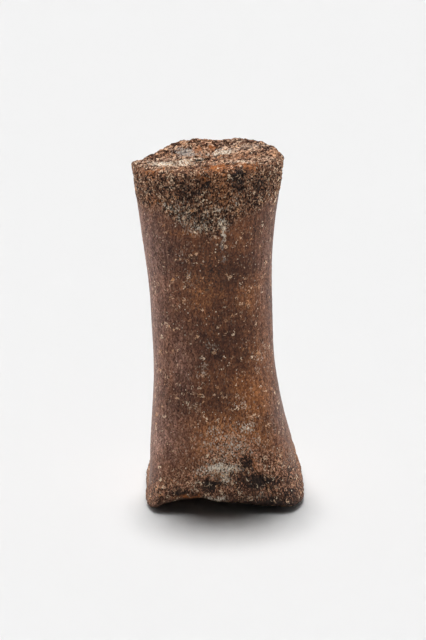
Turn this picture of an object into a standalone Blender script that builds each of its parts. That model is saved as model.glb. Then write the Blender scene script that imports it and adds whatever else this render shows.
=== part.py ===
"""A whale's metacarpal bone, standing upright on its broad lower end.

The bone is one closed loft of oval levels. Each level has its own reach to the left,
right, front and back, and corners of their own squareness. The two ends are rounded at
the rim and carry the coarse relief of bare, spongy bone.
The front is at -Y and +Z is up. Sizes are named in millimetres and built in metres.
"""
import math

import bmesh
import bpy
from mathutils import Vector, noise

MM = 0.001
HEIGHT = 190.0

# How far each side stands from the bone's axis, as (height, reach).
LEFT_REACH = ((0, 37.4), (6, 35.6), (14, 34.5), (28, 34.1), (45, 33.0), (75, 31.7),
              (100, 32.3), (125, 34.1), (150, 37.1), (175, 40.4), (190, 42.2))
RIGHT_REACH = ((0, 50.8), (7, 48.9), (20, 45.2), (30, 42.6), (38, 40.2), (50, 37.1), (75, 32.9),
               (100, 31.4), (125, 30.8), (150, 31.6), (175, 34.0), (190, 35.4))
FRONT_REACH = ((0, 36.0), (7, 37.6), (25, 31.2), (50, 26.6), (90, 22.8),
               (130, 23.2), (160, 25.0), (190, 27.0))
BACK_REACH = ((0, 30.0), (7, 30.5), (25, 28.5), (50, 25.8), (90, 23.2),
              (130, 24.0), (160, 26.5), (190, 29.3))

# How square each corner of a level is, at the foot, the waist and the top: 2 is an ellipse.
FRONT_LEFT_SQUARENESS = (6.0, 3.4, 2.1)
FRONT_RIGHT_SQUARENESS = (5.6, 2.8, 2.5)
BACK_RIGHT_SQUARENESS = (2.45, 2.4, 3.0)
BACK_LEFT_SQUARENESS = (3.0, 2.4, 1.55)
# The foot's corners soften by this height, where they keep this share of their squareness,
# and are gone where the even shaft begins.
ANKLE_HEIGHT = 20.0
ANKLE_SQUARE_SHARE = 0.6
SHAFT_HEIGHT = 70.0

# How far the levels are turned about the axis, as (height, degrees).
TWIST = ((0, 0), (60, 3), (190, 12))

# The front of the foot is hollowed between its two corners, less and less up the shaft.
FRONT_HOLLOW_DEPTH = 3.2
FRONT_HOLLOW_HEIGHT = 26.0
FRONT_HOLLOW_ANGLE = 268
FRONT_HOLLOW_SPREAD = 44

# A blunt lip runs along the front of the foot, under a shallow groove.
LIP_GROOVE_DEPTH = 1.0
LIP_GROOVE_HEIGHT = 10.0
LIP_GROOVE_WIDTH = 3.0
LIP_ANGLE = 275
LIP_SPREAD = 75

UPPER_RIM_RADIUS = 3.0
LOWER_RIM_RADIUS = 4.0

# The underside is a vault that runs from front to back, as (x, rise) along its front edge.
FRONT_ARCH = ((-31.5, -1.4), (-26, 2.7), (-20, 4.6), (-9, 5.8), (1, 4.4), (16, 2.8), (32, 1.1),
              (42, 0.3))
BACK_ARCH_SHARE = 0.5
# Its front edge also rises clear of the floor, from this far in front of the axis.
FRONT_LIFT = 2.6
FRONT_LIFT_START = 12.0
FRONT_LIFT_RUN = 22.0
SEAT_DEPTH = 0.6

# The upper face leans down to the left. Its rim has local rises and chips, as
# (direction in degrees, spread, rise).
UPPER_FACE_HEIGHT = 187.4
UPPER_FACE_LEAN = 0.045
RIM_RISE_FADE = 7
UPPER_RIM_RISES = ((105, 34, 3.0), (178, 24, 1.8), (262, 40, 1.0), (65, 35, 1.4),
                   (158, 17, -0.8))

# The upper face dips behind a ledge that crosses it, with a raised band in front.
LEDGE_START = Vector((-15.0, -14.5))
LEDGE_END = Vector((16.0, -3.5))
LEDGE_WIDTH = 2.2
LEDGE_CRACK_DEPTH = 1.8
FRONT_BAND_RISE = 0.9
DISH_CENTRE = Vector((-6.0, 9.0))
DISH_RADIUS = 17.0
DISH_DEPTH = 1.6

# Coarse roughness of the bare ends, fading out along the shaft.
ROUGH_SIZE = 7.0
ROUGH_DEPTH = 0.7
ROUGH_TOP_REACH = 24.0
ROUGH_FOOT_REACH = 16.0
ROUGH_FOOT_START = 3.0
SHAFT_WAVE_SIZE = 38.0
SHAFT_WAVE_DEPTH = 0.5

LEVEL_POINTS = 72
SHAFT_LEVELS = 42
RIM_LEVELS = 4
FACE_LEVELS = 14
BONE_COLOUR = (0.135, 0.075, 0.048, 1.0)
BONE_ROUGHNESS = 0.55


def smooth_curve(points, height):
    """Value at a height on the smooth curve through (height, value) points."""
    last = len(points) - 1
    height = min(max(height, points[0][0]), points[last][0])
    index = 0
    while index < last - 1 and height > points[index + 1][0]:
        index += 1

    def span_slope(i):
        return (points[i + 1][1] - points[i][1]) / (points[i + 1][0] - points[i][0])

    def point_slope(i):
        if i == 0:
            return 1.5 * span_slope(0) - 0.5 * point_slope(1)
        if i == last:
            return 1.5 * span_slope(last - 1) - 0.5 * point_slope(last - 1)
        before = points[i][0] - points[i - 1][0]
        after = points[i + 1][0] - points[i][0]
        return (span_slope(i - 1) * after + span_slope(i) * before) / (before + after)

    low, high = points[index], points[index + 1]
    span = high[0] - low[0]
    t = (height - low[0]) / span
    rise = low[1] * (1 + 2 * t) * (1 - t) ** 2 + high[1] * t * t * (3 - 2 * t)
    bend = point_slope(index) * t * (1 - t) ** 2 + point_slope(index + 1) * t * t * (t - 1)
    return rise + bend * span


def ease(t):
    """Smooth step from 0 to 1."""
    t = min(max(t, 0.0), 1.0)
    return t * t * (3 - 2 * t)


def swell(angle, centre, spread):
    """A rounded bump of height 1 round a direction, reaching zero at its spread (degrees)."""
    away = (math.degrees(angle) - centre + 180) % 360 - 180
    return max(0.0, 1 - (away / spread) ** 2) ** 2


def corner_squareness(corner, height):
    """Squareness of one corner at a height, from its foot, waist and top values."""
    foot, waist, top = corner
    ankle = waist + (foot - waist) * ANKLE_SQUARE_SHARE
    points = ((0, foot), (ANKLE_HEIGHT, ankle), (SHAFT_HEIGHT, waist), (HEIGHT, top))
    return smooth_curve(points, height)


def squareness(angle, height):
    """Squareness of the level at one angle, eased from corner to corner."""
    right = ease(0.5 + 0.5 * math.cos(angle))
    back = ease(0.5 + 0.5 * math.sin(angle))
    front_value = (corner_squareness(FRONT_LEFT_SQUARENESS, height) * (1 - right)
                   + corner_squareness(FRONT_RIGHT_SQUARENESS, height) * right)
    back_value = (corner_squareness(BACK_LEFT_SQUARENESS, height) * (1 - right)
                  + corner_squareness(BACK_RIGHT_SQUARENESS, height) * right)
    return front_value * (1 - back) + back_value * back


def front_inset(angle, height):
    """Hollow between the foot's front corners, and the groove above its lip."""
    hollow = (FRONT_HOLLOW_DEPTH * swell(angle, FRONT_HOLLOW_ANGLE, FRONT_HOLLOW_SPREAD)
              * math.exp(-(height / FRONT_HOLLOW_HEIGHT) ** 2))
    from_groove = (height - LIP_GROOVE_HEIGHT) / LIP_GROOVE_WIDTH
    groove = LIP_GROOVE_DEPTH * swell(angle, LIP_ANGLE, LIP_SPREAD) * math.exp(-from_groove ** 2)
    return hollow + groove


def level_point(angle, height, inset=0.0):
    """Point of a level in millimetres, as (x, y), moved in from the surface by an inset."""
    across, along = math.cos(angle), math.sin(angle)
    side = RIGHT_REACH if across > 0 else LEFT_REACH
    half_width = smooth_curve(side, height) - inset
    half_depth = smooth_curve(BACK_REACH if along > 0 else FRONT_REACH, height) - inset
    if along < 0:
        half_depth -= front_inset(angle, height)
    power = 2 / squareness(angle, height)
    x = half_width * math.copysign(abs(across) ** power, across)
    y = half_depth * math.copysign(abs(along) ** power, along)
    turn = math.radians(smooth_curve(TWIST, height))
    return Vector((x * math.cos(turn) - y * math.sin(turn),
                   x * math.sin(turn) + y * math.cos(turn)))


def underside_height(flat):
    """Height of the underside's vault at a point of its plan."""
    back = ease(0.5 + 0.5 * flat.y / smooth_curve(BACK_REACH, 0))
    share = 1 + (BACK_ARCH_SHARE - 1) * back
    lift = FRONT_LIFT * ease((-flat.y - FRONT_LIFT_START) / FRONT_LIFT_RUN)
    return smooth_curve(FRONT_ARCH, flat.x) * share + lift


def lower_rim_height(angle):
    """Height of the lower rim above the floor."""
    return underside_height(level_point(angle, 0, LOWER_RIM_RADIUS))


def upper_plane_height(flat):
    """Height of the leaning upper face at a point of its plan, before its relief."""
    return UPPER_FACE_HEIGHT + UPPER_FACE_LEAN * flat.x


def upper_rim_height(angle):
    """Height of the upper rim, with its local rises and chips."""
    rises = sum(rise * swell(angle, centre, spread) for centre, spread, rise in UPPER_RIM_RISES)
    return upper_plane_height(level_point(angle, HEIGHT, UPPER_RIM_RADIUS)) + rises


def upper_relief(flat):
    """Rise of the upper face at a point of its plan: front band, crack and dish."""
    ledge = LEDGE_END - LEDGE_START
    along = (flat - LEDGE_START).dot(ledge) / ledge.length_squared
    beside = (flat - LEDGE_START).cross(ledge) / ledge.length
    within = ease(2.2 - 2.2 * abs(2 * along - 1))
    crack = LEDGE_CRACK_DEPTH * math.exp(-(beside / LEDGE_WIDTH) ** 2) * within
    band = FRONT_BAND_RISE * ease(beside / LEDGE_WIDTH) * ease(2 - beside / 9)
    dish = DISH_DEPTH * math.exp(-(flat - DISH_CENTRE).length_squared / DISH_RADIUS ** 2)
    return band - crack - dish


def roughness(point):
    """Push along the surface normal, in millimetres, from the coarse roughness."""
    from_top = ease(1 - (HEIGHT - point.z) / ROUGH_TOP_REACH)
    from_foot = ease(1 - point.z / ROUGH_FOOT_REACH) * ease(point.z / ROUGH_FOOT_START)
    rough = noise.fractal(point / ROUGH_SIZE, 1.0, 2.0, 2) * ROUGH_DEPTH
    wave = noise.noise(point / SHAFT_WAVE_SIZE) * SHAFT_WAVE_DEPTH
    return rough * max(from_top, from_foot) + wave


def lower_face_levels(angles):
    """Levels of the underside, from its middle out to the rim."""
    for step in range(1, FACE_LEVELS):
        out = step / FACE_LEVELS
        level = []
        for angle in angles:
            flat = level_point(angle, lower_rim_height(angle), LOWER_RIM_RADIUS) * out
            level.append(Vector((flat.x, flat.y, underside_height(flat))))
        yield level


def lower_rim_levels(angles):
    """Levels round the quarter turn from the underside to the shaft."""
    for step in range(RIM_LEVELS):
        turn = 0.5 * math.pi * step / RIM_LEVELS
        inset = LOWER_RIM_RADIUS * (1 - math.sin(turn))
        level = []
        for angle in angles:
            height = lower_rim_height(angle) + LOWER_RIM_RADIUS * (1 - math.cos(turn))
            flat = level_point(angle, height, inset)
            level.append(Vector((flat.x, flat.y, height)))
        yield level


def shaft_levels(angles):
    """Levels of the shaft, from the lower rim to the upper one."""
    for step in range(SHAFT_LEVELS):
        share = step / SHAFT_LEVELS
        level = []
        for angle in angles:
            low = lower_rim_height(angle) + LOWER_RIM_RADIUS
            high = upper_rim_height(angle) - UPPER_RIM_RADIUS
            height = low + (high - low) * share
            flat = level_point(angle, height)
            level.append(Vector((flat.x, flat.y, height)))
        yield level


def upper_rim_levels(angles):
    """Levels round the quarter turn from the shaft to the upper face."""
    for step in range(RIM_LEVELS):
        turn = 0.5 * math.pi * step / RIM_LEVELS
        inset = UPPER_RIM_RADIUS * (1 - math.cos(turn))
        level = []
        for angle in angles:
            height = upper_rim_height(angle) - UPPER_RIM_RADIUS * (1 - math.sin(turn))
            flat = level_point(angle, height, inset)
            level.append(Vector((flat.x, flat.y, height)))
        yield level


def upper_face_levels(angles):
    """Levels of the upper face, from the rim in to its middle."""
    for step in range(FACE_LEVELS, 0, -1):
        out = step / FACE_LEVELS
        level = []
        for angle in angles:
            rim = level_point(angle, HEIGHT, UPPER_RIM_RADIUS)
            rises = upper_rim_height(angle) - upper_plane_height(rim)
            flat = rim * out
            height = upper_plane_height(flat) + rises * out ** RIM_RISE_FADE
            height += upper_relief(flat) * ease(4 - 4 * out)
            level.append(Vector((flat.x, flat.y, height)))
        yield level


def build_mesh():
    """The loft as one closed mesh, in millimetres, before the roughness."""
    angles = [2 * math.pi * step / LEVEL_POINTS for step in range(LEVEL_POINTS)]
    levels = [*lower_face_levels(angles), *lower_rim_levels(angles), *shaft_levels(angles),
              *upper_rim_levels(angles), *upper_face_levels(angles)]
    mesh = bmesh.new()
    rings = [[mesh.verts.new(point) for point in level] for level in levels]
    for below, above in zip(rings, rings[1:]):
        for step in range(LEVEL_POINTS):
            beside = (step + 1) % LEVEL_POINTS
            mesh.faces.new((below[step], below[beside], above[beside], above[step]))
    axis = Vector((0, 0))
    foot_middle = mesh.verts.new((0, 0, underside_height(axis)))
    top_middle = mesh.verts.new((0, 0, upper_plane_height(axis) + upper_relief(axis)))
    for step in range(LEVEL_POINTS):
        beside = (step + 1) % LEVEL_POINTS
        mesh.faces.new((rings[0][beside], rings[0][step], foot_middle))
        mesh.faces.new((rings[-1][step], rings[-1][beside], top_middle))
    bmesh.ops.recalc_face_normals(mesh, faces=mesh.faces)
    return mesh


def roughen(mesh):
    """Push each point along its normal by the coarse roughness."""
    mesh.normal_update()
    pushes = [(vert, vert.normal * roughness(vert.co)) for vert in mesh.verts]
    for vert, push in pushes:
        vert.co += push


def seat_and_centre(mesh):
    """Stand the bone on small flats at z = 0, with the middle of its box over the origin."""
    for vert in mesh.verts:
        vert.co.z = max(vert.co.z - SEAT_DEPTH, 0.0)
    for axis in (0, 1):
        reach = [vert.co[axis] for vert in mesh.verts]
        middle = 0.5 * (min(reach) + max(reach))
        for vert in mesh.verts:
            vert.co[axis] -= middle


def bone_material():
    """Aged bone: warm dark brown with a dull gloss."""
    material = bpy.data.materials.new("bone")
    material.use_nodes = True
    shader = material.node_tree.nodes["Principled BSDF"]
    shader.inputs["Base Color"].default_value = BONE_COLOUR
    shader.inputs["Roughness"].default_value = BONE_ROUGHNESS
    shader.inputs["Metallic"].default_value = 0.0
    return material


def main():
    for old in list(bpy.data.objects):
        bpy.data.objects.remove(old, do_unlink=True)
    collection = bpy.data.collections.new("whale_metacarpal")
    bpy.context.scene.collection.children.link(collection)
    mesh = build_mesh()
    roughen(mesh)
    seat_and_centre(mesh)
    bmesh.ops.scale(mesh, vec=(MM, MM, MM), verts=mesh.verts)
    data = bpy.data.meshes.new("metacarpal")
    mesh.to_mesh(data)
    mesh.free()
    bone = bpy.data.objects.new("metacarpal", data)
    data.materials.append(bone_material())
    collection.objects.link(bone)


main()
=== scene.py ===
"""Visual model of a whale's metacarpal bone, standing on a pale studio floor.

The bone is one dense loft with the solid's own outline. Open spongy bone, pores, grain and
cracks are pushed into it as relief, and the same fields drive its colours.
Sizes are in millimetres from the bone's axis, with the front at -Y, and become metres last.
"""
import math

import bpy
import numpy as np
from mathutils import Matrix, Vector, noise


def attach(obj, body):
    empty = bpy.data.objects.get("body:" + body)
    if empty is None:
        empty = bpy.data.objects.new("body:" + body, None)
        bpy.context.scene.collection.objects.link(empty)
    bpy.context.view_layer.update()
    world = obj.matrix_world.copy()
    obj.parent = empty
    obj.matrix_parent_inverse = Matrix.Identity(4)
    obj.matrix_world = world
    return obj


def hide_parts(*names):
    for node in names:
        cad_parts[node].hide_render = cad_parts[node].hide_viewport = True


MM = 0.001
HEIGHT = 190.0

# The outline, as in the solid: reach of each side at a height.
LEFT_REACH = ((0, 37.4), (6, 35.6), (14, 34.5), (28, 34.1), (45, 33.0), (75, 31.7),
              (100, 32.3), (125, 34.1), (150, 37.1), (175, 40.4), (190, 42.2))
RIGHT_REACH = ((0, 50.8), (7, 48.9), (20, 45.2), (30, 42.6), (38, 40.2), (50, 37.1), (75, 32.9),
               (100, 31.4), (125, 30.8), (150, 31.6), (175, 34.0), (190, 35.4))
FRONT_REACH = ((0, 36.0), (7, 37.6), (25, 31.2), (50, 26.6), (90, 22.8),
               (130, 23.2), (160, 25.0), (190, 27.0))
BACK_REACH = ((0, 30.0), (7, 30.5), (25, 28.5), (50, 25.8), (90, 23.2),
              (130, 24.0), (160, 26.5), (190, 29.3))
FRONT_LEFT_SQUARENESS = (6.0, 3.4, 2.1)
FRONT_RIGHT_SQUARENESS = (5.6, 2.8, 2.5)
BACK_RIGHT_SQUARENESS = (2.45, 2.4, 3.0)
BACK_LEFT_SQUARENESS = (3.0, 2.4, 1.55)
ANKLE_HEIGHT = 20.0
ANKLE_SQUARE_SHARE = 0.6
SHAFT_HEIGHT = 70.0
TWIST = ((0, 0), (60, 3), (190, 12))
FRONT_HOLLOW_DEPTH = 3.2
FRONT_HOLLOW_HEIGHT = 26.0
FRONT_HOLLOW_ANGLE = 268
FRONT_HOLLOW_SPREAD = 44
LIP_GROOVE_DEPTH = 1.0
LIP_GROOVE_HEIGHT = 10.0
LIP_GROOVE_WIDTH = 3.0
LIP_ANGLE = 275
LIP_SPREAD = 75
UPPER_RIM_RADIUS = 3.0
LOWER_RIM_RADIUS = 4.0
FRONT_ARCH = ((-31.5, -1.4), (-26, 2.7), (-20, 4.6), (-9, 5.8), (1, 4.4), (16, 2.8), (32, 1.1),
              (42, 0.3))
BACK_ARCH_SHARE = 0.5
FRONT_LIFT = 2.6
FRONT_LIFT_START = 12.0
FRONT_LIFT_RUN = 22.0
SEAT_DEPTH = 0.6
UPPER_FACE_HEIGHT = 187.4
UPPER_FACE_LEAN = 0.045
RIM_RISE_FADE = 7
UPPER_RIM_RISES = ((105, 34, 3.0), (178, 24, 1.8), (262, 40, 1.0), (65, 35, 1.4),
                   (158, 17, -0.8))
FRONT_BAND_RISE = 0.9
LEDGE_START = (-15.0, -14.5)
LEDGE_END = (16.0, -3.5)
LEDGE_WIDTH = 2.2
DISH_CENTRE = (-6.0, 9.0)
DISH_RADIUS = 17.0
DISH_DEPTH = 1.6
ROUGH_SIZE = 7.0
ROUGH_DEPTH = 0.7
ROUGH_TOP_REACH = 24.0
ROUGH_FOOT_REACH = 16.0
ROUGH_FOOT_START = 3.0
SHAFT_WAVE_SIZE = 38.0
SHAFT_WAVE_DEPTH = 0.5
BOX_MIDDLE = (4.31, -1.91)

# Sizes of the surface noise in millimetres, along x, y and z where they differ.
BROAD_SIZE = 15
MIDDLE_SIZE = 4.5
FINE_SIZE = 1.7
BAND_PORE_SIZE = (1.1, 1.1, 2.1)
FOOT_PORE_SIZE = (1.25, 1.25, 1.25)
FACE_PORE_SIZE = (2.4, 1.0, 2.0)
GRAIN_SIZE = (0.95, 0.95, 1.1)
SLIT_SIZE = (1.3, 1.3, 4.2)
SIDE_FIBRE_SIZE = (1.0, 1.0, 9)
FRONT_FIBRE_SIZE = (0.8, 0.8, 2.2)
WORM_SIZE = 2.6
LONG_STREAK_SIZE = (4.5, 0.9, 3)
SHORT_STREAK_SIZE = (2.2, 0.6, 3)
STREAK_TURN = (0.83, 0.56)

# Bare bone: how far it reaches down from the upper rim and up from the foot, in millimetres.
TOP_REACH = 21.5
TOP_EDGE = 7
FOOT_REACH = 14
FOOT_EDGE = 14

# Relief, in millimetres.
PORE_DEPTH = 0.6
GRAIN_RISE = 0.2
WORM_RISE = 0.2
SLIT_DEPTH = 0.2
SHAFT_SINK = 0.02
UNDERSIDE_CALM = 0.85
LEDGE_SHARE = 0.45
LEDGE_RUN = 0.8
LEDGE_FADE = 5

# Marks of the material: cells per metre and their stretch along x, y and z, and noise as
# (waves per metre, detail).
GRAIN_CELLS = (1800, (1, 1, 0.62))
FACE_GRAIN_CELLS = (1500, (0.85, 0.36, 1))
PIT_CELLS = (1500, (1, 1, 0.5))
DASH_CELLS = (520, (1, 1, 1))
SPECK_CELLS = (640, (1, 1, 0.8))
THREAD_NOISE = (560, 1)
PATCHY_NOISE = (160, 2)
LIGHT_NOISE = (2000, 2)
GLOSS_NOISE = (600, 3)
BUMP_NOISE = (1100, 2)
BUMP_DISTANCE = 0.0003
BONE_SHINE = 0.2

# Studio: the overhead light; the lights for the bone alone, as (name, azimuth, elevation,
# spread, strength); and the glow of the walls by direction and height.
OVERHEAD_AZIMUTH = -162
OVERHEAD_ELEVATION = 80.5
OVERHEAD_SPREAD = 13
OVERHEAD_STRENGTH = 3.45
BONE_LIGHTS = (("left", -98, 8, 60, 3.3), ("right", 98, 8, 60, 2.8), ("front", 10, 52, 40, 0.8))
STUDIO_WALL = 1.1
STUDIO_SIDES = (-0.2, 0.35)
STUDIO_WALL_TOP = (0.12, 0.32)
STUDIO_DARK = 0.02
# The floor is a slightly translucent sheet: light spreads this far inside it, in metres.
FLOOR_GLOW = 0.006
FLOOR_SIZE = 12
FLOOR_TONE = 0.8
FLOOR_ROUGHNESS = 0.9

# Camera, in metres and degrees.
CAMERA_PLACE = (-0.0043, -0.73189, 0.4014)
CAMERA_TILT = 67.5
CAMERA_LENS = 84.375
SENSOR_WIDTH = 36

# Density of the visual mesh.
AROUND = 800
SHAFT_ROWS = 580
UPPER_RIM_ROWS = 12
LOWER_RIM_ROWS = 16
FACE_RINGS = 112
ANGLE_LEVELS = 39
ANGLE_STEPS = 200
CORNER_CROWDING = 5

# UV map: the shaft's strip, and the middles and scale of the two discs above it.
STRIP_START = 0.005
STRIP_HEIGHT = 0.68
DISC_HEIGHT = 0.845
FOOT_DISC = 0.75
TOP_DISC = 0.25
DISC_SCALE = 330

# Tones of the bone, as screen values from 0 to 255. A tint multiplies what lies under it. Some
# tones are painted light: shade low on the foot, sheen down the shaft's sides, and shade in pits,
# pores and gaps.
TONES = {
    "shaft dark": (76, 44, 28), "shaft light": (106, 66, 42), "shaft tan": (146, 95, 58),
    "shaft grey sheen": (138, 108, 98), "fibre tint": (200, 192, 192),
    "bare dark": (50, 31, 21), "bare brown": (106, 72, 52), "bare pale": (164, 138, 114),
    "bare tan": (128, 84, 54), "foot tint": (300, 290, 285), "foot": (140, 102, 82),
    "tongue tint": (170, 165, 165), "low shade": (46, 31, 25),
    "face dark": (88, 60, 46), "face pale": (168, 140, 118), "face tint": (235, 215, 200),
    "cream wash": (146, 118, 90), "dull grey": (112, 103, 98), "pale grey": (188, 178, 168),
    "rust": (116, 64, 32), "orange": (180, 110, 56),
    "dull cream": (160, 136, 112), "bright cream": (244, 234, 218),
    "black stain and shade": (20, 13, 12), "dark stain and shade": (60, 45, 38),
    "speck tan": (196, 138, 88), "speck pale": (246, 232, 208),
    "fleck tan": (196, 138, 92), "fleck pale": (242, 220, 190),
    "pit_shade": (26, 13, 8), "pore": (28, 14, 9), "crack_shade": (16, 10, 8),
}


def smooth_curve(points, height):
    """Values at heights on the smooth curve through (height, value) points."""
    place, value = np.array(points, float).T
    span = np.diff(place)
    slope = np.diff(value) / span
    inner = (slope[:-1] * span[1:] + slope[1:] * span[:-1]) / (span[:-1] + span[1:])
    first = 1.5 * slope[0] - 0.5 * inner[0]
    last = 1.5 * slope[-1] - 0.5 * inner[-1]
    bend = np.concatenate(([first], inner, [last]))
    height = np.clip(height, place[0], place[-1])
    index = np.clip(np.searchsorted(place, height, side="right") - 1, 0, len(span) - 1)
    t = (height - place[index]) / span[index]
    rise = value[index] * (1 + 2 * t) * (1 - t) ** 2 + value[index + 1] * t * t * (3 - 2 * t)
    return rise + span[index] * (bend[index] * t * (1 - t) ** 2
                                 + bend[index + 1] * t * t * (t - 1))


def ease(t):
    """Smooth step from 0 to 1."""
    t = np.clip(t, 0.0, 1.0)
    return t * t * (3 - 2 * t)


def swell(angle, centre, spread):
    """A rounded bump of height 1 round a direction, reaching zero at its spread (degrees)."""
    away = (np.degrees(angle) - centre + 180) % 360 - 180
    return np.maximum(0.0, 1 - (away / spread) ** 2) ** 2


def corner_squareness(corner, height):
    """Squareness of one corner, given for the foot, the waist and the top."""
    foot, waist, top = corner
    ankle = waist + (foot - waist) * ANKLE_SQUARE_SHARE
    points = ((0, foot), (ANKLE_HEIGHT, ankle), (SHAFT_HEIGHT, waist), (HEIGHT, top))
    return smooth_curve(points, height)


def squareness(angle, height):
    """Squareness of the levels, eased from corner to corner: 2 is an ellipse."""
    right = ease(0.5 + 0.5 * np.cos(angle))
    back = ease(0.5 + 0.5 * np.sin(angle))
    front_value = (corner_squareness(FRONT_LEFT_SQUARENESS, height) * (1 - right)
                   + corner_squareness(FRONT_RIGHT_SQUARENESS, height) * right)
    back_value = (corner_squareness(BACK_LEFT_SQUARENESS, height) * (1 - right)
                  + corner_squareness(BACK_RIGHT_SQUARENESS, height) * right)
    return front_value * (1 - back) + back_value * back


def front_inset(angle, height):
    """Hollow between the foot's front corners, and the groove above its lip."""
    hollow = (FRONT_HOLLOW_DEPTH * swell(angle, FRONT_HOLLOW_ANGLE, FRONT_HOLLOW_SPREAD)
              * np.exp(-(height / FRONT_HOLLOW_HEIGHT) ** 2))
    from_groove = (height - LIP_GROOVE_HEIGHT) / LIP_GROOVE_WIDTH
    groove = LIP_GROOVE_DEPTH * swell(angle, LIP_ANGLE, LIP_SPREAD) * np.exp(-from_groove ** 2)
    return hollow + groove


def level_points(angle, height, inset=0.0):
    """Plan of the levels, as x and y, moved in from the surface by an inset."""
    angle, height = np.broadcast_arrays(angle, height)
    across, along = np.cos(angle), np.sin(angle)
    half_width = np.where(across > 0, smooth_curve(RIGHT_REACH, height),
                          smooth_curve(LEFT_REACH, height)) - inset
    half_depth = np.where(along > 0, smooth_curve(BACK_REACH, height),
                          smooth_curve(FRONT_REACH, height)) - inset
    half_depth = half_depth - np.where(along < 0, front_inset(angle, height), 0)
    power = 2 / squareness(angle, height)
    x = half_width * np.sign(across) * np.abs(across) ** power
    y = half_depth * np.sign(along) * np.abs(along) ** power
    turn = np.radians(smooth_curve(TWIST, height))
    return x * np.cos(turn) - y * np.sin(turn), x * np.sin(turn) + y * np.cos(turn)


def underside_height(x, y):
    """Height of the vaulted underside, lifted clear of the floor along its front edge."""
    back = ease(0.5 + 0.5 * y / BACK_REACH[0][1])
    lift = FRONT_LIFT * ease((-y - FRONT_LIFT_START) / FRONT_LIFT_RUN)
    return smooth_curve(FRONT_ARCH, x) * (1 + (BACK_ARCH_SHARE - 1) * back) + lift


def lower_rim_height(angle):
    return underside_height(*level_points(angle, 0.0, LOWER_RIM_RADIUS))


def upper_plane_height(x):
    return UPPER_FACE_HEIGHT + UPPER_FACE_LEAN * x


def upper_rim_rise(angle):
    return sum(rise * swell(angle, centre, spread) for centre, spread, rise in UPPER_RIM_RISES)


def upper_rim_height(angle):
    x, _ = level_points(angle, HEIGHT, UPPER_RIM_RADIUS)
    return upper_plane_height(x) + upper_rim_rise(angle)


def upper_relief(x, y):
    """Rise of the upper face: the band in front of the ledge, and the dish behind it."""
    ledge = np.subtract(LEDGE_END, LEDGE_START)
    length = math.hypot(*ledge)
    beside = ((x - LEDGE_START[0]) * ledge[1] - (y - LEDGE_START[1]) * ledge[0]) / length
    band = FRONT_BAND_RISE * ease(beside / LEDGE_WIDTH) * ease(2 - beside / 9)
    away = (x - DISH_CENTRE[0]) ** 2 + (y - DISH_CENTRE[1]) ** 2
    return band - DISH_DEPTH * np.exp(-away / DISH_RADIUS ** 2)


def even_angles(height):
    """Angles that space the points of one level evenly round it, from the back."""
    step = np.linspace(0, 1, ANGLE_STEPS, endpoint=False)
    octants = []
    for quarter in range(4):
        start = 0.5 * math.pi * (quarter + 1)
        octants.append(start + 0.25 * math.pi * step ** CORNER_CROWDING)
        octants.append(start + 0.5 * math.pi - 0.25 * math.pi * (1 - step) ** CORNER_CROWDING)
    dense = np.concatenate(octants + [[2.5 * math.pi]])
    x, y = level_points(dense, height)
    run = np.concatenate(([0], np.cumsum(np.hypot(np.diff(x), np.diff(y)))))
    return np.interp(np.arange(AROUND) / AROUND * run[-1], run, dense)


def build_grid():
    """Rows of points from the middle of the underside, up the shaft, to the middle of the top.

    Gives the points, and for each point its distance below the upper rim and above the lower one.
    """
    heights = np.linspace(0, HEIGHT, ANGLE_LEVELS)
    angle_table = np.array([even_angles(height) for height in heights])

    def angles_at(height):
        place = np.clip(height / HEIGHT * (len(heights) - 1), 0, len(heights) - 1.001)
        low = int(place)
        return angle_table[low] + (angle_table[low + 1] - angle_table[low]) * (place - low)

    rows, down, up = [], [], []
    foot, top = angles_at(0), angles_at(HEIGHT)
    foot_rim = lower_rim_height(foot)
    top_rim = upper_rim_height(top)
    for ring in range(1, FACE_RINGS):
        out = ring / FACE_RINGS
        x, y = level_points(foot, foot_rim, LOWER_RIM_RADIUS)
        x, y = x * out, y * out
        rows.append((x, y, underside_height(x, y)))
        up.append(-np.hypot(x, y) * (1 / out - 1))
        down.append(np.full(AROUND, HEIGHT))
    for step in range(LOWER_RIM_ROWS):
        turn = 0.5 * math.pi * step / LOWER_RIM_ROWS
        height = foot_rim + LOWER_RIM_RADIUS * (1 - math.cos(turn))
        x, y = level_points(foot, height, LOWER_RIM_RADIUS * (1 - math.sin(turn)))
        rows.append((x, y, height))
        up.append(np.full(AROUND, LOWER_RIM_RADIUS * turn))
        down.append(top_rim - height)
    for step in range(SHAFT_ROWS):
        share = step / SHAFT_ROWS
        angle = angles_at(HEIGHT * share)
        low = lower_rim_height(angle) + LOWER_RIM_RADIUS
        high = upper_rim_height(angle) - UPPER_RIM_RADIUS
        height = low + (high - low) * share
        x, y = level_points(angle, height)
        rows.append((x, y, height))
        up.append(height - low + 0.5 * math.pi * LOWER_RIM_RADIUS)
        down.append(high - height + 0.5 * math.pi * UPPER_RIM_RADIUS)
    for step in range(UPPER_RIM_ROWS):
        turn = 0.5 * math.pi * step / UPPER_RIM_ROWS
        height = top_rim - UPPER_RIM_RADIUS * (1 - math.sin(turn))
        x, y = level_points(top, height, UPPER_RIM_RADIUS * (1 - math.cos(turn)))
        rows.append((x, y, height))
        up.append(height)
        down.append(np.full(AROUND, UPPER_RIM_RADIUS * (0.5 * math.pi - turn)))
    rim_x, rim_y = level_points(top, HEIGHT, UPPER_RIM_RADIUS)
    rise = top_rim - upper_plane_height(rim_x)
    for ring in range(FACE_RINGS, 0, -1):
        out = ring / FACE_RINGS
        x, y = rim_x * out, rim_y * out
        height = upper_plane_height(x) + rise * out ** RIM_RISE_FADE
        height = height + upper_relief(x, y) * ease(4 - 4 * out)
        rows.append((x, y, height))
        up.append(height)
        down.append(-np.hypot(x, y) * (1 / out - 1))
    points = np.array([np.stack(np.broadcast_arrays(*row), axis=-1) for row in rows])
    return points, np.array(down), np.array(up)


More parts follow.
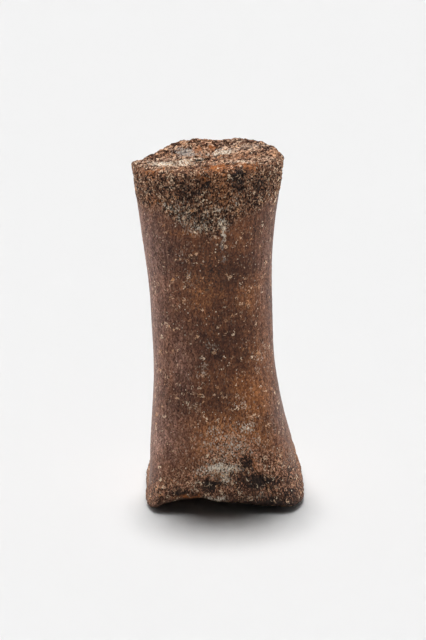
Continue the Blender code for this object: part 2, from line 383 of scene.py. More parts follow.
def grid_normals(points):
    """Outward normals of a grid of rows that close on themselves."""
    around = np.roll(points, -1, axis=1) - np.roll(points, 1, axis=1)
    along = np.gradient(points, axis=0)
    normals = np.cross(around, along)
    return normals / np.maximum(np.linalg.norm(normals, axis=-1, keepdims=True), 1e-9)


def scramble(x, y, z, seed):
    """A repeatable number from 0 to 1 for each whole-numbered place."""
    value = (x.astype(np.uint32) * np.uint32(0x8DA6B343)
             ^ y.astype(np.uint32) * np.uint32(0xD8163841)
             ^ z.astype(np.uint32) * np.uint32(0xCB1AB31F)
             ^ np.uint32(seed * 0x9E3779B9 & 0xFFFFFFFF))
    value ^= value >> np.uint32(15)
    value *= np.uint32(0x2C1B3C6D)
    value ^= value >> np.uint32(12)
    value *= np.uint32(0x297A2D39)
    value ^= value >> np.uint32(15)
    return value.astype(np.float32) / np.float32(4294967296.0)


def soft_noise(points, size, seed):
    """Smooth noise from -1 to 1. The size may differ along x, y and z."""
    place = (points / np.asarray(size, float)).astype(np.float32) + 1000
    cell = np.floor(place)
    t = place - cell
    t = t * t * t * (t * (t * 6 - 15) + 10)
    cell = cell.astype(np.int64)
    total = 0
    for dx in (0, 1):
        wx = t[..., 0] if dx else 1 - t[..., 0]
        for dy in (0, 1):
            wy = t[..., 1] if dy else 1 - t[..., 1]
            for dz in (0, 1):
                wz = t[..., 2] if dz else 1 - t[..., 2]
                corner = scramble(cell[..., 0] + dx, cell[..., 1] + dy, cell[..., 2] + dz, seed)
                total = total + wx * wy * wz * corner
    return 2 * total - 1


def layered_noise(points, size, seed, layers):
    """Soft noise with finer layers on top, each half as strong."""
    total = 0
    reach = 0
    for layer in range(layers):
        turned = points + 13.7 * layer
        finer = np.asarray(size) / 2.03 ** layer
        total = total + soft_noise(turned, finer, seed + layer) / 2 ** layer
        reach += 1 / 2 ** layer
    return total / reach * 1.5


def cell_noise(points, size, seed):
    """Distance to the nearest scattered point, in cells, and that point's own number."""
    place = points / np.asarray(size, float) + 1000
    home = np.floor(place).astype(np.int64)
    within = (place - home).astype(np.float32)
    nearest = np.full(points.shape[:-1], 9.0, np.float32)
    number = np.zeros(points.shape[:-1], np.float32)
    for dx in (-1, 0, 1):
        for dy in (-1, 0, 1):
            for dz in (-1, 0, 1):
                x, y, z = home[..., 0] + dx, home[..., 1] + dy, home[..., 2] + dz
                gap = ((dx + scramble(x, y, z, seed) - within[..., 0]) ** 2
                       + (dy + scramble(x, y, z, seed + 1) - within[..., 1]) ** 2
                       + (dz + scramble(x, y, z, seed + 2) - within[..., 2]) ** 2)
                closer = gap < nearest
                nearest = np.where(closer, gap, nearest)
                number = np.where(closer, scramble(x, y, z, seed + 3), number)
    return np.sqrt(nearest), number


# Marks on the bone, as (kind, centre, radii, strength).
PATCHES = (
    # Upper face.
    ("cream", (-22, -8, 187), (11, 4.5, 6), 0.75), ("cream", (-14, -4, 187), (7, 2.5, 6), 0.6),
    ("grey", (-13, 12, 187), (8, 7, 6), 0.85), ("cream", (4, 9.5, 187), (6, 4, 6), 1),
    ("grey", (6, 13, 187), (7, 4, 6), 0.7), ("grey", (22, 16, 187), (9, 6, 6), 0.45),
    ("cream", (-10, -0.5, 187), (8, 1.4, 6), 0.7), ("orange", (-8, 17, 187), (2.5, 4, 6), 0.8),
    ("orange", (-1, 19, 187), (2.5, 4, 6), 0.7), ("orange", (12, 9, 187), (8, 2, 6), 0.45),
    ("orange", (18, -3, 187), (8, 2, 6), 0.4), ("orange", (2, -21, 188), (7, 5, 3), 1.1),
    ("orange", (16, -20, 188), (9, 5, 3), 0.8), ("orange", (-29, -19, 186), (9, 5, 4), 0.6),
    ("cream", (13, -15, 187), (11, 1.2, 5), 0.7), ("orange", (2, -18.5, 187.5), (24, 2.6, 3), 0.3),
    ("dark", (5, -17, 187.5), (22, 3.5, 3), 0.3), ("dark", (-24, -17, 186), (11, 3, 3), 0.25),
    ("dark", (20, 6, 187), (14, 9, 5), 0.16), ("dark", (-3, -21, 188), (4, 2, 3), 0.6),
    # Stains and streaks of the upper band.
    ("dark", (12.5, -24, 185), (4.2, 9, 3), 1), ("dark", (12, -24, 181), (2.4, 8, 3), 0.9),
    ("dark", (-2.5, -27, 181), (2, 8, 2.6), 0.9), ("dark", (-13, -26, 178), (15, 10, 8), 0.4),
    ("dark", (22, -18, 177), (7, 10, 8), 0.45), ("tan", (3.5, -25, 176), (7, 9, 8), 1),
    ("orange", (-3, -26, 184.5), (5, 8, 2), 0.7), ("orange", (7, -25, 185), (4, 8, 2.4), 0.6),
    ("orange", (-29, -19, 170), (5, 9, 5), 0.4), ("dark", (-30, -18, 177), (7, 10, 9), 0.26),
    ("dark", (-6, -25, 164), (13, 9, 6), 0.35), ("cream", (-20, -24, 169.5), (8, 9, 3), 0.4),
    ("cream", (-14, -25, 164), (6, 9, 4), 0.34), ("cream", (-6.5, -25, 160), (7, 9, 5), 0.42),
    ("cream", (-4, -25, 165.5), (3, 9, 2.5), 0.5), ("cream", (3.5, -25, 168.5), (4, 9, 1.6), 0.55),
    ("cream", (11.5, -22, 172), (1.6, 9, 5), 0.3), ("cream", (5.5, -24, 160.5), (2.2, 9, 3), 0.6),
    ("cream", (5.2, -24, 155.5), (0.9, 9, 4), 0.8), ("orange", (-12, -25, 155), (9, 9, 3), 0.4),
    ("dark", (21.5, -17.6, 158), (1.4, 9, 7), 0.5), ("dark", (4, -24, 145), (4, 9, 9), 0.3),
    ("grey", (5.6, -24, 147), (1.2, 9, 3), 0.7), ("grey", (5.4, -24, 140.5), (1.4, 9, 2), 0.7),
    ("grey", (-9, -24, 143), (10, 9, 7), 0.12),
    # Shaft. The greyer marks down its sides are partly the bone's own tone and partly painted
    # sheen.
    ("cream", (-12, -21, 130), (1.2, 9, 5), 0.34), ("cream", (-16, -19, 142), (3, 9, 3), 0.24),
    ("cream", (-1, -23, 92), (4, 9, 2.5), 0.3), ("cream", (-6, -23, 80), (3, 9, 7), 0.2),
    ("cream", (-8.5, -23, 60), (3, 9, 2.5), 0.26), ("cream", (14, -22, 61), (4, 9, 3.5), 0.26),
    ("cream", (25, -14, 84), (3, 9, 8), 0.2), ("tan", (-5, -22.5, 122), (8, 9, 8), 0.7),
    ("tan", (20, -18, 118), (8, 9, 12), 0.5), ("tan", (22, -20, 62), (12, 12, 13), 1),
    ("tan", (25, -16, 84), (9, 12, 14), 0.7), ("orange", (15, -22, 72), (6, 9, 5), 0.45),
    ("orange", (20, -20, 62), (11, 9, 8), 0.35), ("dark", (4, -25, 66), (8, 10, 8), 0.32),
    ("dark", (0, -25, 134), (12, 10, 18), 0.36), ("dark", (2, -24, 96), (12, 10, 16), 0.2),
    ("grey_sheen", (-34, -8, 100), (15, 20, 95), 1), ("grey_sheen", (-17, -20, 84), (7, 12, 22), 0.7),
    ("grey_sheen", (32, -8, 130), (9, 20, 50), 0.6), ("grey_sheen", (-32, -12, 143), (9, 14, 20), 1),
    ("grey_sheen", (32, -14, 143), (8, 12, 18), 0.5), ("tan", (26, -14, 72), (7, 12, 16), 0.4),
    ("grey_sheen", (36, -10, 50), (7, 14, 18), 0.5), ("tan", (-18, -22, 36), (18, 14, 18), 0.5),
    ("grey_sheen", (-26, -20, 38), (14, 14, 22), 1.1),
    # Foot. The greyer mark on its left side is partly the bone's own tone and partly painted
    # sheen.
    ("tan", (9, -27, 40), (22, 14, 14), 1.2), ("cream", (10, -27, 37), (15, 12, 11), 0.3),
    ("cream", (17, -25, 47), (4, 8, 3), 0.5), ("cream", (1, -28, 46), (4, 8, 4), 0.3),
    ("cream", (5.5, -30, 24.3), (11, 9, 3.4), 1.1), ("cream", (5, -31, 19.5), (4.5, 8, 3), 0.9),
    ("dark", (-1.2, -31.5, 17.2), (6, 8, 3.2), 1.3), ("dark", (24, -31, 17.6), (14, 9, 5), 1.15),
    ("dark", (13, -30, 19), (6, 9, 3), 0.8), ("dark", (38.5, -27, 11), (8, 9, 4.4), 1.1),
    ("dark", (17.5, -29, 27), (4, 8, 5), 0.9), ("dark", (-18, -32, 13), (10, 9, 2.6), 0.8),
    # The second dark mark on the next line, low on the right of the lip, is painted shade.
    ("dark", (45, -22, 12), (7, 14, 14), 0.5), ("dark", (31, -34, 6), (22, 12, 5), 0.9),
    ("orange", (22, -28, 27), (1.8, 8, 4.5), 0.8), ("orange", (-12.2, -32, 10.5), (9, 9, 2), 0.8),
    ("cream", (1.5, -32, 9.5), (6, 8, 2.2), 0.6), ("cream", (24, -32, 11), (10, 8, 1.4), 0.35),
    ("grey", (41, -20, 22), (6, 14, 9), 0.4), ("dark", (40, -22, 17), (8, 12, 9), 0.6),
    ("dark", (-30, -26, 13), (8, 9, 8), 0.5), ("grey_sheen", (-33, -17, 34), (6, 12, 18), 0.8),
)


def patch_field(kind, points):
    """Where the marks of one kind lie, from 0 to 1, with ragged edges."""
    total = np.zeros(points.shape[:-1])
    for name, centre, radii, strength in PATCHES:
        if name != kind:
            continue
        away = (((points - centre) / radii) ** 2).sum(-1)
        total = np.maximum(total, strength * np.exp(-away))
    return total


def coarse_roughness(points):
    """Push along the surface, in millimetres: the solid's own coarse roughness."""
    flat = points.reshape(-1, 3)
    rough = np.empty(len(flat))
    wave = np.empty(len(flat))
    for index, place in enumerate(flat.tolist()):
        place = Vector(place)
        rough[index] = noise.fractal(place / ROUGH_SIZE, 1.0, 2.0, 2)
        wave[index] = noise.noise(place / SHAFT_WAVE_SIZE)
    z = flat[:, 2]
    from_top = ease(1 - (HEIGHT - z) / ROUGH_TOP_REACH)
    from_foot = ease(1 - z / ROUGH_FOOT_REACH) * ease(z / ROUGH_FOOT_START)
    push = rough * ROUGH_DEPTH * np.maximum(from_top, from_foot) + wave * SHAFT_WAVE_DEPTH
    return push.reshape(points.shape[:-1])


def segment_distance(points, start, end):
    """Distance in plan from a straight line between two points, and the share along it."""
    start, end = np.array(start, float), np.array(end, float)
    line = end - start
    offset = points - start
    share = np.clip((offset * line).sum(-1) / (line ** 2).sum(), 0, 1)
    return np.linalg.norm(offset - share[..., None] * line, axis=-1), share


# Gaps in the bone, as (start, end, width, depth): in the upper face by x and y, in the front
# of the foot by x and z.
FACE_CRACKS = (
    ((-9.0, -3.9), (-1.0, 0.4), 1.05, 2.0), ((-2.2, 1.7), (4.8, 5.6), 0.95, 1.8),
    ((-10.2, 3.2), (-7.2, 4.4), 0.9, 1.0), ((0.0, -5.2), (2.8, -4.4), 0.7, 0.9),
)
FOOT_CRACKS = (
    ((22.0, 25.0), (25.5, 20.0), 0.45, 0.8), ((25.5, 20.0), (28.0, 17.0), 0.45, 0.8),
    ((28.0, 17.0), (29.0, 12.5), 0.4, 0.7), ((16.0, 32.0), (19.5, 26.5), 0.4, 0.6),
)


def crack_depth(table, plan):
    """Depth of the cracks of one table, on the two axes given as plan."""
    total = np.zeros(plan.shape[:-1])
    for start, end, width, depth in table:
        away, share = segment_distance(plan, start, end)
        half = width * np.sqrt(np.maximum(4 * share * (1 - share), 0.1))
        total = np.maximum(total, depth * ease(1.4 - away / half))
    return total


def ledge_rise(plan):
    """The bone just behind the gaps of the upper face stands higher than in front of them."""
    total = np.zeros(plan.shape[:-1])
    for start, end, _, depth in FACE_CRACKS:
        line = np.subtract(end, start)
        length = np.hypot(*line)
        offset = plan - np.array(start)
        along = (offset @ line) / length ** 2
        behind = (offset[..., 1] * line[0] - offset[..., 0] * line[1]) / length
        window = ease(2.5 * (1.2 - np.abs(2 * along - 1)))
        step = LEDGE_SHARE * depth * window * ease(behind / LEDGE_RUN)
        total = np.maximum(total, step * np.exp(-(behind / LEDGE_FADE) ** 2))
    return total


def surface_fields(points, down, up):
    """The relief in millimetres and the colour fields from 0 to 1, by name."""
    x, y, z = points[..., 0], points[..., 1], points[..., 2]
    front = ease(0.5 - y / 24)
    broad = layered_noise(points, BROAD_SIZE, 11, 3)
    middle = layered_noise(points, MIDDLE_SIZE, 21, 3)
    fine = layered_noise(points, FINE_SIZE, 31, 2)
    drift = np.stack([middle, np.roll(middle, 31, 1), np.roll(middle, 17, 0)], -1)

    # Bare spongy bone covers both ends, with a tongue down the front from the upper rim.
    tongue = (14 * np.exp(-((x + 1) / 15) ** 2) * front
              + 8 * np.exp(-((x - 3) / 12) ** 2) * (1 - front))
    rough_top = ease(0.5 + (TOP_REACH + tongue + 2.0 * broad + 2.0 * middle - down) / TOP_EDGE)
    rise = (FOOT_REACH + 26 * np.exp(-((x - 12) / 18) ** 2) * front + 10 * ease(x / 40)
            + 6 * np.exp(-((x + 10) / 16) ** 2) * (1 - front))
    rough_foot = ease(0.5 + (rise + 4 * broad + 2.5 * middle - up) / FOOT_EDGE)
    face = ease(1 - (down + 0.3) / 2.4)
    under = ease(1 - (up - 1.0) / 3.0)
    band = rough_top * (1 - face)
    rough = np.maximum(rough_top, rough_foot)
    beside = ease(np.abs(x) / 30)

    # Pores: upright slits in the upper band, round holes at the foot, a few along the shaft.
    warped = points + 0.35 * np.stack([fine, np.roll(fine, 7, 1), np.roll(fine, 5, 0)], -1)
    gap, number = cell_noise(warped, BAND_PORE_SIZE, 41)
    pore = ease((0.5 - gap) / 0.26) * (number > 0.32) * band
    gap, number = cell_noise(warped, FOOT_PORE_SIZE, 45)
    pore = np.maximum(pore, ease((0.45 - gap) / 0.24) * (number > 0.68) * rough_foot)
    grain_gap, tone = cell_noise(warped, GRAIN_SIZE, 51)
    grain = ease(1 - grain_gap / 0.75)
    slit_gap, slit_number = cell_noise(points, SLIT_SIZE, 61)
    slit = ease((0.3 - slit_gap) / 0.18) * (slit_number > 0.9 - 0.25 * beside) * (1 - rough)
    fibre = (beside * soft_noise(points, SIDE_FIBRE_SIZE, 71)
             + (1 - 0.5 * beside) * soft_noise(points, FRONT_FIBRE_SIZE, 72))
    worm = ease(1 - np.abs(layered_noise(points + drift, WORM_SIZE, 81, 2)) / 0.16)

    # Streaks of the upper face run with its ledge, and so do its long pores.
    along, across = STREAK_TURN
    turned = np.stack([along * x + across * y, -across * x + along * y, z], -1)
    streak = soft_noise(turned + 0.6 * drift, LONG_STREAK_SIZE, 91)
    streak = streak + 0.8 * soft_noise(turned, SHORT_STREAK_SIZE, 92)
    gap, number = cell_noise(turned + 0.5 * drift, FACE_PORE_SIZE, 95)
    pore = np.maximum(pore, ease((0.5 - gap) / 0.26) * (number > 0.7) * face)
    face_plan = points[..., :2] + 0.7 * drift[..., :2]
    foot_plan = points[..., ::2] + 0.5 * drift[..., :2]
    cracks = (crack_depth(FACE_CRACKS, face_plan) * face
              + crack_depth(FOOT_CRACKS, foot_plan) * front * (1 - face))

    relief = rough * (0.3 * middle + 0.24 * fine - PORE_DEPTH * pore + GRAIN_RISE * grain)
    relief = relief + face * (0.34 * middle + 0.32 * streak + 0.3 * fine)
    relief = relief + (1 - rough) * (0.06 * fibre + 0.06 * fine - SLIT_DEPTH * slit - SHAFT_SINK)
    relief = relief + band * WORM_RISE * worm - cracks
    relief = relief + face * ledge_rise(face_plan)
    relief = relief * (1 - UNDERSIDE_CALM * under)

    vee = rough_top * ease((down - 9) / 12) * ease(1.6 - np.abs(x + 4) / 16)
    # low: darker towards the lower edge and over the underside, as painted shade where the bone
    # turns down to the floor.
    fields = {"rough": rough, "face": face, "top": rough_top, "foot": rough_foot, "vee": vee,
              "low": ease(1 - up / 15), "pore": np.maximum(pore, slit), "tone": tone,
              "fibre": 0.5 + 0.5 * fibre, "streak": 0.5 + 0.4 * streak,
              "crack_shade": np.clip(cracks / 1.2, 0, 1), "broad": 0.5 + 0.5 * broad}
    for kind in ("cream", "tan", "orange", "grey", "grey_sheen", "dark"):
        fields[kind] = patch_field(kind, points + 2.0 * drift)
    return relief, fields


def build_bone():
    """The bone as one closed mesh, with its colour fields as point attributes."""
    points, down, up = build_grid()
    normals = grid_normals(points)
    relief, fields = surface_fields(points, down, up)
    points = points + normals * (coarse_roughness(points) + relief)[..., None]
    rows = len(points)
    flat = points.reshape(-1, 3)
    flat = np.concatenate([flat, [points[0].mean(0)], [points[-1].mean(0)]])
    flat[:, 2] = np.maximum(flat[:, 2] - SEAT_DEPTH, 0)
    flat[:, :2] -= BOX_MIDDLE

    index = np.arange(rows * AROUND).reshape(rows, AROUND)
    beside = np.roll(index, -1, axis=1)
    quads = np.stack([index[:-1], beside[:-1], beside[1:], index[1:]], -1).reshape(-1, 4)
    foot_fan = np.stack([beside[0], index[0], np.full(AROUND, rows * AROUND)], -1)
    top_fan = np.stack([index[-1], beside[-1], np.full(AROUND, rows * AROUND + 1)], -1)
    faces = quads.tolist() + foot_fan.tolist() + top_fan.tolist()
    mesh = bpy.data.meshes.new("whale_metacarpal")
    mesh.from_pydata((flat * MM).tolist(), [], faces)
    mesh.polygons.foreach_set("use_smooth", np.ones(len(faces), bool))
    for name, values in fields.items():
        column = values.reshape(-1)
        column = np.concatenate([column, [values[0].mean()], [values[-1].mean()]])
        layer = mesh.attributes.new(name, "FLOAT", "POINT")
        layer.data.foreach_set("value", column.astype(np.float32))
    add_uv_map(mesh, flat, rows, quads)
    bone = bpy.data.objects.new("whale_metacarpal", mesh)
    bpy.context.scene.collection.objects.link(bone)
    return bone


def add_uv_map(mesh, flat, rows, quads):
    """Shaft unrolled in the lower two thirds of the map, the two ends as discs above it."""
    row = quads // AROUND
    column = quads % AROUND
    column[:, 1:3][column[:, 1:3] == 0] = AROUND
    side_start = FACE_RINGS - 1
    side_end = side_start + LOWER_RIM_ROWS + SHAFT_ROWS + UPPER_RIM_ROWS
    u = column / AROUND
    v = STRIP_START + STRIP_HEIGHT * (row - side_start) / (side_end - side_start)
    foot_disc = (row < side_start).any(axis=1)
    top_disc = (row > side_end).any(axis=1)
    for disc, middle in ((foot_disc, FOOT_DISC), (top_disc, TOP_DISC)):
        place = flat[quads[disc]]
        u[disc] = middle + place[..., 0] / DISC_SCALE
        v[disc] = DISC_HEIGHT + place[..., 1] / DISC_SCALE
    fans = []
    for middle, first, ring in ((FOOT_DISC, True, np.arange(AROUND)),
                                (TOP_DISC, False, (rows - 1) * AROUND + np.arange(AROUND))):
        beside = np.roll(ring, -1)
        centre = np.full(AROUND, len(flat) - 2 if first else len(flat) - 1)
        corners = np.stack([beside, ring, centre] if first else [ring, beside, centre], -1)
        place = flat[corners]
        fans.append(np.stack([middle + place[..., 0] / DISC_SCALE,
                              DISC_HEIGHT + place[..., 1] / DISC_SCALE], -1))
    side = np.stack([u, v], -1).reshape(-1, 2)
    values = np.concatenate([side] + [fan.reshape(-1, 2) for fan in fans])
    layer = mesh.uv_layers.new(name="OFBake")
    layer.data.foreach_set("uv", values.astype(np.float32).reshape(-1))


class Shading:
    """Short ways to add and join shader nodes."""

    def __init__(self, material):
        self.tree = material.node_tree

    def put(self, socket, value):
        if isinstance(value, bpy.types.NodeSocket):
            self.tree.links.new(value, socket)
        elif value is not None:
            socket.default_value = value

    def field(self, name):
        node = self.tree.nodes.new("ShaderNodeAttribute")
        node.attribute_name = name
        return node.outputs["Fac"]

    def math(self, operation, a, b=None):
        node = self.tree.nodes.new("ShaderNodeMath")
        node.operation = operation
        self.put(node.inputs[0], a)
        self.put(node.inputs[1], b)
        return node.outputs[0]

    def add(self, a, b):
        return self.math("ADD", a, b)

    def minus(self, a, b):
        return self.math("SUBTRACT", a, b)

    def times(self, a, b):
        return self.math("MULTIPLY", a, b)

    def blend(self, factor, a, b):
        """A number between two numbers."""
        return self.add(a, self.times(factor, self.minus(b, a)))

    def span(self, value, low, high):
        """Smooth 0 to 1 as the value goes from low to high."""
        node = self.tree.nodes.new("ShaderNodeMapRange")
        node.interpolation_type = "SMOOTHSTEP"
        self.put(node.inputs["Value"], value)
        node.inputs["From Min"].default_value = low
        node.inputs["From Max"].default_value = high
        return node.outputs["Result"]

    def mix(self, factor, a, b, blend="MIX"):
        node = self.tree.nodes.new("ShaderNodeMix")
        node.data_type = "RGBA"
        node.blend_type = blend
        self.put(node.inputs["Factor"], factor)
        self.put(node.inputs["A"], a)
        self.put(node.inputs["B"], b)
        return node.outputs["Result"]

    def tint(self, factor, base, colour):
        """The base multiplied by a colour, as far as the factor says."""
        return self.mix(factor, base, self.mix(1.0, base, colour, "MULTIPLY"))

    def place(self, stretch):
        """Object coordinates, stretched along x, y and z."""
        place = self.tree.nodes.new("ShaderNodeTexCoord")
        mapping = self.tree.nodes.new("ShaderNodeMapping")
        mapping.inputs["Scale"].default_value = stretch
        self.tree.links.new(place.outputs["Object"], mapping.inputs["Vector"])
        return mapping.outputs["Vector"]

    def noise(self, scale, detail):
        node = self.tree.nodes.new("ShaderNodeTexNoise")
        node.inputs["Scale"].default_value = scale
        node.inputs["Detail"].default_value = detail
        self.tree.links.new(self.place((1, 1, 1)), node.inputs["Vector"])
        return node.outputs["Fac"]

    def cells(self, scale, stretch):
        """Distance to the middle of each small cell, and three numbers of that cell's own."""
        node = self.tree.nodes.new("ShaderNodeTexVoronoi")
        node.inputs["Scale"].default_value = scale
        self.tree.links.new(self.place(stretch), node.inputs["Vector"])
        parts = self.tree.nodes.new("ShaderNodeSeparateColor")
        self.tree.links.new(node.outputs["Color"], parts.inputs["Color"])
        return (node.outputs["Distance"], *parts.outputs)


def tone(name):
    """One of the tones, from screen values to linear light."""
    def linear(value):
        value = value / 255
        return value / 12.92 if value <= 0.04045 else ((value + 0.055) / 1.055) ** 2.4
    return (*(linear(value) for value in TONES[name]), 1.0)


def bone_material():
    material = bpy.data.materials.new("bone")
    material.use_nodes = True
    shader = material.node_tree.nodes["Principled BSDF"]
    s = Shading(material)
    rough, face = s.field("rough"), s.field("face")
    top, foot, vee = s.field("top"), s.field("foot"), s.field("vee")
    cream, tan, orange = s.field("cream"), s.field("tan"), s.field("orange")
    grey, grey_sheen, dark = s.field("grey"), s.field("grey_sheen"), s.field("dark")

    # Fine marks, about half a millimetre each. On the upper face they run from front to back.
    grain_gap, grain, hue, chance = s.cells(*GRAIN_CELLS)
    _, face_grain, face_hue, _ = s.cells(*FACE_GRAIN_CELLS)
    grain = s.blend(face, grain, face_grain)
    hue = s.blend(face, hue, face_hue)
    pit_gap, pit_chance, _, _ = s.cells(*PIT_CELLS)
    _, dash, dash_hue, dash_force = s.cells(*DASH_CELLS)
    speck_gap, speck, speck_hue, speck_force = s.cells(*SPECK_CELLS)
    thread = s.math("ABSOLUTE", s.minus(s.noise(*THREAD_NOISE), 0.5))
    thread = s.minus(1.0, s.span(thread, 0.025, 0.07))
    patchy = s.span(s.noise(*PATCHY_NOISE), 0.35, 0.65)

    # Smooth shaft: reddish brown, with broad warm parts, greyer sides that are partly its own tone
    # and partly painted sheen, and a short upright grain.
    shaft = s.mix(s.span(s.field("broad"), 0.2, 0.8), tone("shaft dark"), tone("shaft light"))
    shaft = s.mix(s.math("MINIMUM", tan, 1.0), shaft, tone("shaft tan"))
    # Greyer, lighter sides: partly the bone's tone, partly painted sheen where the side lights
    # graze it.
    shaft = s.mix(s.times(grey_sheen, 0.75), shaft, tone("shaft grey sheen"))
    shaft = s.tint(s.span(s.field("fibre"), 0.75, 0.25), shaft, tone("fibre tint"))

    # Bare bone: grains from dark brown to tan, and the broken streaks of the upper face.
    bare = s.mix(s.span(s.add(s.times(s.field("tone"), 0.5), s.times(grain, 0.5)), 0.15, 0.65),
                 tone("bare dark"), tone("bare brown"))
    bare = s.mix(s.span(s.times(grain, hue), 0.35, 0.75), bare, tone("bare pale"))
    bare = s.mix(s.math("MINIMUM", s.times(tan, 0.8), 0.9), bare, tone("bare tan"))
    bare = s.tint(s.times(foot, 0.45), bare, tone("foot tint"))
    bare = s.mix(s.times(foot, 0.5), bare, tone("foot"))
    bare = s.tint(s.times(vee, 0.4), bare, tone("tongue tint"))
    # Darker towards the lower edge: painted shade, not a colour of the bone.
    bare = s.mix(s.times(s.field("low"), 0.9), bare, tone("low shade"))
    base = s.mix(rough, shaft, bare)
    upper = s.mix(s.span(s.field("streak"), 0.25, 0.75), tone("face dark"), tone("face pale"))
    stained = s.mix(1.0, upper, tone("face tint"), "MULTIPLY")
    upper = s.mix(s.span(s.field("broad"), 0.35, 0.65), stained, upper)
    base = s.mix(face, base, upper)

    # Each grain has its own lightness.
    wobble = s.minus(s.add(grain, s.noise(*LIGHT_NOISE)), 1.0)
    paler = s.times(s.math("MAXIMUM", wobble, 0.0), 1.2)
    deepness = s.add(s.add(0.55, s.times(top, 0.45)), s.times(face, 0.45))
    darker = s.times(s.math("MINIMUM", wobble, 0.0), deepness)
    contrast = s.minus(s.add(1.6, s.times(rough, 0.8)), s.times(face, 0.5))
    light = s.add(1.0, s.times(s.add(paler, darker), contrast))
    light = s.math("MAXIMUM", light, 0.1)
    shade = s.tree.nodes.new("ShaderNodeCombineColor")
    dim = s.math("MINIMUM", light, 1.0)
    for socket, warmth in zip(shade.inputs, (0.0, 0.35, 0.75)):
        s.put(socket, s.times(light, s.math("POWER", dim, warmth)))
    base = s.mix(1.0, base, shade.outputs["Color"], "MULTIPLY")

    def stain(base, amount, tint, softness=0.5, loose=0.6):
        """Colour whole grains, the more of them the stronger the stain."""
        amount = s.add(amount, s.times(s.minus(hue, 0.5), loose))
        return s.mix(s.span(amount, 0.5 - 0.5 * softness, 0.5 + 0.5 * softness), base, tint)

    base = s.mix(s.times(s.span(cream, 0.1, 0.9), 0.35), base, tone("cream wash"))
    base = stain(base, grey, s.mix(chance, tone("dull grey"), tone("pale grey")))
    base = stain(base, orange, s.mix(chance, tone("rust"), tone("orange")), 0.7, 0.9)
    base = stain(base, cream, s.mix(chance, tone("dull cream"), tone("bright cream")), 0.5, 0.8)
    # Dark marks are stains, but the one low on the right of the foot's lip is painted shade.
    base = stain(base, dark, s.mix(chance, tone("black stain and shade"), tone("dark stain and shade")), 0.6, 0.8)

    # Pale flecks: broken threads, close in the tongue of the upper band, and small loose specks.
    share = s.add(s.times(top, 0.10), s.times(vee, 0.30))
    share = s.add(share, s.add(0.09, s.add(s.times(cream, 0.3), s.times(foot, 0.1))))
    flecks = s.math("LESS_THAN", dash, s.times(share, s.add(patchy, 0.3)))
    flecks = s.times(s.times(thread, flecks), s.add(0.4, s.times(dash_force, 0.6)))
    share = s.add(0.25, s.times(s.add(rough, cream), 0.1))
    specks = s.math("LESS_THAN", speck, s.times(share, s.add(patchy, 0.4)))
    specks = s.times(specks, s.minus(1.0, s.span(speck_gap, 0.12, 0.25)))
    specks = s.times(specks, s.add(0.4, s.times(speck_force, 0.6)))
    base = s.mix(specks, base, s.mix(speck_hue, tone("speck tan"), tone("speck pale")))
    base = s.mix(flecks, base, s.mix(dash_hue, tone("fleck tan"), tone("fleck pale")))

    # Pits, and the pores of the relief, painted near-black: painted shade inside the holes.
    share = s.add(0.08, s.add(s.times(rough, 0.26), s.times(dark, 0.3)))
    pits = s.math("LESS_THAN", pit_chance, share)
    pits = s.times(pits, s.minus(1.0, s.span(pit_gap, 0.22, 0.48)))
    base = s.mix(s.times(pits, 0.9), base, tone("pit_shade"))
    base = s.mix(s.times(s.span(s.field("pore"), 0.1, 0.9), 0.85), base, tone("pore"))
    # Gaps of the upper face and of the foot, painted near-black: painted shade in the gaps.
    base = s.mix(s.field("crack_shade"), base, tone("crack_shade"))
    s.put(shader.inputs["Base Color"], base)

    gloss = s.add(0.42, s.times(rough, 0.25))
    gloss = s.add(gloss, s.times(s.noise(*GLOSS_NOISE), 0.12))
    s.put(shader.inputs["Roughness"], gloss)
    shader.inputs["Specular IOR Level"].default_value = BONE_SHINE

    height = s.minus(s.times(flecks, 0.7), pits)
    height = s.add(height, s.times(s.noise(*BUMP_NOISE), 0.9))
    height = s.minus(height, s.times(grain_gap, 0.7))
    bump = s.tree.nodes.new("ShaderNodeBump")
    bump.inputs["Distance"].default_value = BUMP_DISTANCE
    s.put(bump.inputs["Strength"], s.add(0.45, s.times(rough, 0.55)))
    s.put(bump.inputs["Height"], height)
    s.put(shader.inputs["Normal"], bump.outputs["Normal"])
    return material


def add_floor():
    bpy.ops.mesh.primitive_plane_add(size=FLOOR_SIZE, location=(0, 0, 0))
    floor = bpy.context.object
    floor.name = "floor"
    material = bpy.data.materials.new("floor")
    material.use_nodes = True
    shader = material.node_tree.nodes["Principled BSDF"]
    shader.inputs["Base Color"].default_value = (FLOOR_TONE, FLOOR_TONE, FLOOR_TONE, 1)
    shader.inputs["Roughness"].default_value = FLOOR_ROUGHNESS
    shader.subsurface_method = "BURLEY"
    shader.inputs["Subsurface Weight"].default_value = 1.0
    shader.inputs["Subsurface Radius"].default_value = (1.0, 1.0, 1.0)
    shader.inputs["Subsurface Scale"].default_value = FLOOR_GLOW
    shader.inputs["Specular IOR Level"].default_value = 0.0
    floor.data.materials.append(material)


def add_sun(name, azimuth, elevation, spread, strength):
    """A broad soft light from one side. The azimuth is measured from the front to the right."""
    light = bpy.data.lights.new(name, "SUN")
    light.energy = strength
    light.angle = math.radians(spread)
    lamp = bpy.data.objects.new(name, light)
    turn, tilt = math.radians(azimuth), math.radians(elevation)
    level = math.cos(tilt)
    source = Vector((math.sin(turn) * level, -math.cos(turn) * level, math.sin(tilt)))
    lamp.rotation_euler = source.to_track_quat("Z", "Y").to_euler()
    bpy.context.scene.collection.objects.link(lamp)
    return lamp


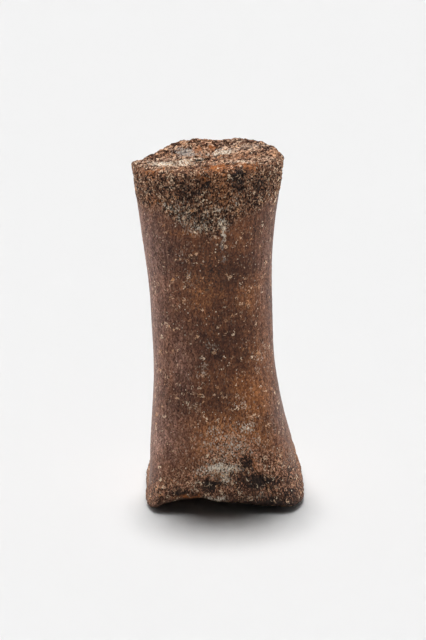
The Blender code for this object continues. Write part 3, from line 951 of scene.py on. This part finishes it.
def add_studio():
    """Surroundings that are dark but for low pale walls at the sides and the back."""
    world = bpy.data.worlds.new("studio")
    world.use_nodes = True
    s = Shading(world)
    place = s.tree.nodes.new("ShaderNodeTexCoord")
    axes = s.tree.nodes.new("ShaderNodeSeparateXYZ")
    s.tree.links.new(place.outputs["Generated"], axes.inputs[0])
    x, y, z = axes.outputs
    plan = s.math("SQRT", s.add(s.times(x, x), s.times(y, y)))
    sides = s.span(s.math("DIVIDE", y, s.math("MAXIMUM", plan, 0.001)), *STUDIO_SIDES)
    low = s.minus(1.0, s.span(z, *STUDIO_WALL_TOP))
    wall = s.times(s.times(sides, low), STUDIO_WALL)
    s.put(s.tree.nodes["Background"].inputs["Color"], s.math("MAXIMUM", wall, STUDIO_DARK))
    bpy.context.scene.world = world
    bpy.context.scene.view_settings.view_transform = "Standard"


def add_light(bone):
    """A small overhead light a little behind the bone, and softer ones for the bone alone."""
    add_sun("overhead", OVERHEAD_AZIMUTH, OVERHEAD_ELEVATION, OVERHEAD_SPREAD, OVERHEAD_STRENGTH)
    lit = bpy.data.collections.new("bone_only")
    lit.objects.link(bone)
    for values in BONE_LIGHTS:
        add_sun(*values).light_linking.receiver_collection = lit


def add_camera():
    """A long lens level with the photographed view: 22.5 degrees down, from the front."""
    data = bpy.data.cameras.new("camera")
    data.sensor_width = SENSOR_WIDTH
    data.lens = CAMERA_LENS
    camera = bpy.data.objects.new("camera", data)
    camera.location = CAMERA_PLACE
    camera.rotation_euler = (math.radians(CAMERA_TILT), 0, 0)
    bpy.context.scene.collection.objects.link(camera)
    bpy.context.scene.camera = camera


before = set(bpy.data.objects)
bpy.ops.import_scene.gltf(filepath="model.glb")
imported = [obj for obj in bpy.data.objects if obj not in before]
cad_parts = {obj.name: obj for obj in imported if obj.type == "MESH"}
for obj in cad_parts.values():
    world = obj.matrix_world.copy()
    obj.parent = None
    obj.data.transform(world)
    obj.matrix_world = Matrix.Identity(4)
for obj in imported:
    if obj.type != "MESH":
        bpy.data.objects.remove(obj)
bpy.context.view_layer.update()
add_camera()
add_floor()
add_studio()
bone = build_bone()
add_light(bone)
bone.data.materials.append(bone_material())
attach(bone, "root")
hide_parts("metacarpal")
